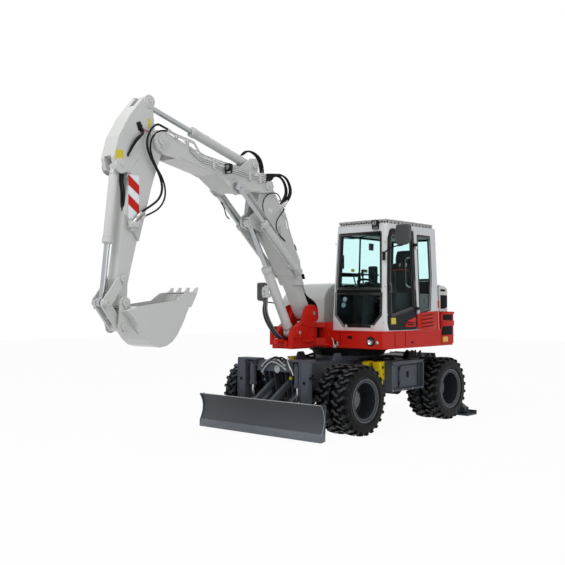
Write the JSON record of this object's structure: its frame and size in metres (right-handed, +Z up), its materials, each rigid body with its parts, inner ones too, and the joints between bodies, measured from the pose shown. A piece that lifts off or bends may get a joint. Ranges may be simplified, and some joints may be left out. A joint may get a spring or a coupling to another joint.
{
  "type": "wheeled excavator",
  "caption": "Wheeled excavator with twin tyres, two-piece swinging boom, stick and bucket, glazed cab, front blade and rear stabilisers.",
  "frame": {"origin": "bottom centre of the machine's bounding box at rest, on the ground under the middle of its length and width", "axes": "+X towards the bucket and blade, +Y to the machine's left (the cab's side), +Z up"},
  "size_m": [6.545, 3.025, 4.288],
  "materials": {
    "frame_blue": "satin paint, blue-grey",
    "blade_blue": "worn satin paint, blue-grey",
    "deck_red": "gloss paint, red",
    "arm_grey": "gloss paint, warm pale grey",
    "rim_blue": "satin paint, blue-grey with a paler hub",
    "tyre_black": "matte rubber",
    "rod_chrome": "polished",
    "axle_black": "painted casting",
    "ring_black": "dark casting",
    "glass_tint": "clear, lightly tinted",
    "trim_black": "matte",
    "seat_black": "woven",
    "door_red": "black frame with a red lower panel",
    "guard_grey": "satin paint, grey",
    "engine_grey": "painted casting",
    "bucket_grey": "scuffed paint, pale grey"
  },
  "bodies": {
    "chassis": {"chassis_frame": "frame_blue", "tool_boxes": "frame_blue", "slew_ring": "ring_black", "front_axle": "axle_black", "rear_axle": "axle_black", "driveline": "axle_black"},
    "knuckle_left": {"knuckle_left": "axle_black"},
    "knuckle_right": {"knuckle_right": "axle_black"},
    "tie_rod": {"steering_rod": "axle_black"},
    "wheel_front_left": {"rims_front_left": "rim_blue", "tyres_front_left": "tyre_black"},
    "wheel_front_right": {"rims_front_right": "rim_blue", "tyres_front_right": "tyre_black"},
    "wheel_rear_left": {"rims_rear_left": "rim_blue", "tyres_rear_left": "tyre_black"},
    "wheel_rear_right": {"rims_rear_right": "rim_blue", "tyres_rear_right": "tyre_black"},
    "blade_arms": {"blade_arms": "frame_blue"},
    "blade_links": {"blade_links": "frame_blue"},
    "blade": {"blade": "blade_blue"},
    "blade_cylinder_barrel": {"blade_barrels": "frame_blue"},
    "blade_cylinder_rod": {"blade_rods": "rod_chrome"},
    "stabiliser_left": {"stabiliser_leg_left": "frame_blue"},
    "stabiliser_left_cylinder_barrel": {"stabiliser_barrel_left": "frame_blue"},
    "stabiliser_left_cylinder_rod": {"stabiliser_rod_left": "rod_chrome"},
    "stabiliser_right": {"stabiliser_leg_right": "frame_blue"},
    "stabiliser_right_cylinder_barrel": {"stabiliser_barrel_right": "frame_blue"},
    "stabiliser_right_cylinder_rod": {"stabiliser_rod_right": "rod_chrome"},
    "upper": {"upper_frame": "deck_red", "counterweight": "deck_red", "engine": "engine_grey", "side_hood": "arm_grey", "cab_shell": "arm_grey", "cab_glass": "glass_tint", "seat": "seat_black", "console": "trim_black", "roof_guard": "guard_grey", "mirrors": "trim_black"},
    "hood": {"engine_hood": "arm_grey"},
    "door": {"cab_door": "door_red", "door_glass": "glass_tint"},
    "swing_post": {"swing_post": "deck_red"},
    "swing_cylinder_barrel": {"swing_barrel": "arm_grey"},
    "swing_cylinder_rod": {"swing_rod": "rod_chrome"},
    "boom_lower": {"boom_lower": "arm_grey"},
    "boom_cylinder_barrel": {"boom_barrel": "arm_grey"},
    "boom_cylinder_rod": {"boom_rod": "rod_chrome"},
    "boom_upper": {"boom_upper": "arm_grey"},
    "adjust_cylinder_barrel": {"adjust_barrels": "arm_grey"},
    "adjust_cylinder_rod": {"adjust_rods": "rod_chrome"},
    "stick": {"stick": "arm_grey"},
    "stick_cylinder_barrel": {"stick_barrel": "arm_grey"},
    "stick_cylinder_rod": {"stick_rod": "rod_chrome"},
    "bucket": {"bucket": "bucket_grey"},
    "bucket_lever": {"bucket_lever": "arm_grey"},
    "bucket_link": {"bucket_link": "arm_grey"},
    "bucket_cylinder_barrel": {"bucket_barrel": "arm_grey"},
    "bucket_cylinder_rod": {"bucket_rod": "rod_chrome"}
  },
  "joints": [
    {"name": "steer_left", "type": "hinge", "parent": "chassis", "child": "knuckle_left", "pos_m": [-0.213, 0.6, 0.485], "axis": [0, 0, 1], "range_deg": [-25, 25]},
    {"name": "steer_right", "type": "hinge", "parent": "chassis", "child": "knuckle_right", "pos_m": [-0.213, -0.6, 0.485], "axis": [0, 0, 1], "range_deg": [-25, 25]},
    {"name": "tie_rod_slide", "type": "slide", "parent": "chassis", "child": "tie_rod", "axis": [0, 1, 0], "range_m": [-0.1, 0.1]},
    {"name": "wheel_front_left_spin", "type": "hinge", "parent": "knuckle_left", "child": "wheel_front_left", "pos_m": [-0.213, 0.8775, 0.485], "axis": [0, 1, 0], "continuous": true},
    {"name": "wheel_front_right_spin", "type": "hinge", "parent": "knuckle_right", "child": "wheel_front_right", "pos_m": [-0.213, -0.8775, 0.485], "axis": [0, 1, 0], "continuous": true},
    {"name": "wheel_rear_left_spin", "type": "hinge", "parent": "chassis", "child": "wheel_rear_left", "pos_m": [-2.453, 0.8775, 0.485], "axis": [0, 1, 0], "continuous": true},
    {"name": "wheel_rear_right_spin", "type": "hinge", "parent": "chassis", "child": "wheel_rear_right", "pos_m": [-2.453, -0.8775, 0.485], "axis": [0, 1, 0], "continuous": true},
    {"name": "blade_lift", "type": "hinge", "parent": "chassis", "child": "blade_arms", "pos_m": [0.127, 0, 0.55], "axis": [0, -1, 0], "range_deg": [-10, 44]},
    {"name": "blade_link_turn", "type": "hinge", "parent": "chassis", "child": "blade_links", "pos_m": [0.167, 0, 0.74], "axis": [0, -1, 0], "range_deg": [-10.5, 45]},
    {"name": "blade_level", "type": "hinge", "parent": "blade_arms", "child": "blade", "pos_m": [0.587, 0, 0.26], "axis": [0, -1, 0], "range_deg": [-45, 10.5]},
    {"name": "blade_cylinder_barrel_tilt", "type": "hinge", "parent": "chassis", "child": "blade_cylinder_barrel", "pos_m": [0.372, 0, 0.968], "axis": [0, -1, 0], "range_deg": [-1.82, 7.51]},
    {"name": "blade_cylinder_rod_slide", "type": "slide", "parent": "blade_cylinder_barrel", "child": "blade_cylinder_rod", "axis": [-0.0143, 0, -0.9999], "range_m": [-0.2058, 0.0499]},
    {"name": "stabiliser_left_lift", "type": "hinge", "parent": "chassis", "child": "stabiliser_left", "pos_m": [-3.123, 0.4, 0.55], "axis": [1, 0, 0], "range_deg": [-5, 60]},
    {"name": "stabiliser_left_cylinder_barrel_tilt", "type": "hinge", "parent": "chassis", "child": "stabiliser_left_cylinder_barrel", "pos_m": [-3.123, 0.25, 0.9], "axis": [1, 0, 0], "range_deg": [-3.11, 30.7]},
    {"name": "stabiliser_left_cylinder_rod_slide", "type": "slide", "parent": "stabiliser_left_cylinder_barrel", "child": "stabiliser_left_cylinder_rod", "axis": [0, 0.693, -0.721], "range_m": [-0.2197, 0.0223]},
    {"name": "stabiliser_right_lift", "type": "hinge", "parent": "chassis", "child": "stabiliser_right", "pos_m": [-3.123, -0.4, 0.55], "axis": [-1, 0, 0], "range_deg": [-5, 60]},
    {"name": "stabiliser_right_cylinder_barrel_tilt", "type": "hinge", "parent": "chassis", "child": "stabiliser_right_cylinder_barrel", "pos_m": [-3.123, -0.25, 0.9], "axis": [-1, 0, 0], "range_deg": [-3.11, 30.7]},
    {"name": "stabiliser_right_cylinder_rod_slide", "type": "slide", "parent": "stabiliser_right_cylinder_barrel", "child": "stabiliser_right_cylinder_rod", "axis": [0, -0.693, -0.721], "range_m": [-0.2197, 0.0223]},
    {"name": "slew", "type": "hinge", "parent": "chassis", "child": "upper", "pos_m": [-1.333, 0, 1.155], "axis": [0, 0, 1], "continuous": true},
    {"name": "hood_lift", "type": "hinge", "parent": "upper", "child": "hood", "pos_m": [-2.283, 0, 2.08], "axis": [0, 1, 0], "range_deg": [0, 50]},
    {"name": "door_swing", "type": "hinge", "parent": "upper", "child": "door", "pos_m": [-1.595, 1.11, 1.41], "axis": [0, -0.0353, 0.9994], "range_deg": [0, 160]},
    {"name": "boom_swing", "type": "hinge", "parent": "upper", "child": "swing_post", "pos_m": [-0.493, -0.1, 1.365], "axis": [0, 0, 1], "range_deg": [-55, 55]},
    {"name": "swing_cylinder_barrel_tilt", "type": "hinge", "parent": "upper", "child": "swing_cylinder_barrel", "pos_m": [-1.583, -0.62, 1.258], "axis": [0, 0, 1], "range_deg": [-6.69, 6.69]},
    {"name": "swing_cylinder_rod_slide", "type": "slide", "parent": "swing_cylinder_barrel", "child": "swing_cylinder_rod", "axis": [0.9874, 0.1583, 0], "range_m": [-0.3114, 0.3114]},
    {"name": "boom_lift", "type": "hinge", "parent": "swing_post", "child": "boom_lower", "pos_m": [-0.361, -0.1, 1.663], "axis": [0, -1, 0], "range_deg": [-60, 25]},
    {"name": "boom_cylinder_barrel_tilt", "type": "hinge", "parent": "swing_post", "child": "boom_cylinder_barrel", "pos_m": [-0.053, -0.1, 1.39], "axis": [0, -1, 0], "range_deg": [-63.95, 27.38]},
    {"name": "boom_cylinder_rod_slide", "type": "slide", "parent": "boom_cylinder_barrel", "child": "boom_cylinder_rod", "axis": [0.4778, 0, 0.8784], "range_m": [-0.389, 0.1665]},
    {"name": "boom_adjust", "type": "hinge", "parent": "boom_lower", "child": "boom_upper", "pos_m": [0.599, -0.1, 3.425], "axis": [0, -1, 0], "range_deg": [-40, 20]},
    {"name": "adjust_cylinder_barrel_tilt", "type": "hinge", "parent": "boom_lower", "child": "adjust_cylinder_barrel", "pos_m": [0.027, -0.1, 2.26], "axis": [0, -1, 0], "range_deg": [-9.14, 4.66]},
    {"name": "adjust_cylinder_rod_slide", "type": "slide", "parent": "adjust_cylinder_barrel", "child": "adjust_cylinder_rod", "axis": [0.7418, 0, 0.6707], "range_m": [-0.3741, 0.1907]},
    {"name": "stick_reach", "type": "hinge", "parent": "boom_upper", "child": "stick", "pos_m": [2.477, -0.1, 3.775], "axis": [0, 1, 0], "range_deg": [-50, 42]},
    {"name": "stick_cylinder_barrel_tilt", "type": "hinge", "parent": "boom_upper", "child": "stick_cylinder_barrel", "pos_m": [0.782, -0.1, 3.692], "axis": [0, 1, 0], "range_deg": [-6.34, 5.35]},
    {"name": "stick_cylinder_rod_slide", "type": "slide", "parent": "stick_cylinder_barrel", "child": "stick_cylinder_rod", "axis": [0.9612, 0, 0.2757], "range_m": [-0.3414, 0.2879]},
    {"name": "bucket_curl", "type": "hinge", "parent": "stick", "child": "bucket", "pos_m": [2.98, -0.1, 1.811], "axis": [0, 1, 0], "range_deg": [-120, 0]},
    {"name": "bucket_lever_turn", "type": "hinge", "parent": "stick", "child": "bucket_lever", "pos_m": [2.993, -0.1, 2.09], "axis": [0, 1, 0], "range_deg": [-88.61, 1.74]},
    {"name": "bucket_link_turn", "type": "hinge", "parent": "bucket", "child": "bucket_link", "pos_m": [2.999, -0.1, 1.533], "axis": [0, 1, 0], "range_deg": [-1.76, 89.96]},
    {"name": "bucket_cylinder_barrel_tilt", "type": "hinge", "parent": "stick", "child": "bucket_cylinder_barrel", "pos_m": [3.037, -0.1, 3.4], "axis": [0, 1, 0], "range_deg": [-9.01, 0.18]},
    {"name": "bucket_cylinder_rod_slide", "type": "slide", "parent": "bucket_cylinder_barrel", "child": "bucket_cylinder_rod", "axis": [0.1107, 0, -0.9939], "range_m": [-0.4576, 0.009]}
  ],
  "couplings": [
    {"joint": "steer_right", "follows": "steer_left", "ratio": 1},
    {"joint": "tie_rod_slide", "follows": "steer_left", "m_per_rad": -0.204},
    {"joint": "blade_link_turn", "follows": "blade_lift", "ratio": 1},
    {"joint": "blade_level", "follows": "blade_lift", "ratio": -1},
    {"joint": "blade_cylinder_barrel_tilt", "follows": "blade_lift", "ratio": 0.1673},
    {"joint": "blade_cylinder_rod_slide", "follows": "blade_lift", "m_per_rad": -0.2627},
    {"joint": "stabiliser_left_cylinder_barrel_tilt", "follows": "stabiliser_left_lift", "ratio": 0.5016},
    {"joint": "stabiliser_left_cylinder_rod_slide", "follows": "stabiliser_left_lift", "m_per_rad": -0.2057},
    {"joint": "stabiliser_right_cylinder_barrel_tilt", "follows": "stabiliser_right_lift", "ratio": 0.5016},
    {"joint": "stabiliser_right_cylinder_rod_slide", "follows": "stabiliser_right_lift", "m_per_rad": -0.2057},
    {"joint": "swing_cylinder_barrel_tilt", "follows": "boom_swing", "ratio": 0.1192},
    {"joint": "swing_cylinder_rod_slide", "follows": "boom_swing", "m_per_rad": 0.318},
    {"joint": "boom_cylinder_barrel_tilt", "follows": "boom_lift", "ratio": 1.045},
    {"joint": "boom_cylinder_rod_slide", "follows": "boom_lift", "m_per_rad": 0.3642},
    {"joint": "adjust_cylinder_barrel_tilt", "follows": "boom_adjust", "ratio": 0.224},
    {"joint": "adjust_cylinder_rod_slide", "follows": "boom_adjust", "m_per_rad": 0.5253},
    {"joint": "stick_cylinder_barrel_tilt", "follows": "stick_reach", "ratio": 0.1244},
    {"joint": "stick_cylinder_rod_slide", "follows": "stick_reach", "m_per_rad": 0.3836},
    {"joint": "bucket_lever_turn", "follows": "bucket_curl", "ratio": 0.7239},
    {"joint": "bucket_link_turn", "follows": "bucket_curl", "ratio": -0.735},
    {"joint": "bucket_cylinder_barrel_tilt", "follows": "bucket_curl", "ratio": 0.0736},
    {"joint": "bucket_cylinder_rod_slide", "follows": "bucket_curl", "m_per_rad": 0.2142}
  ]
}
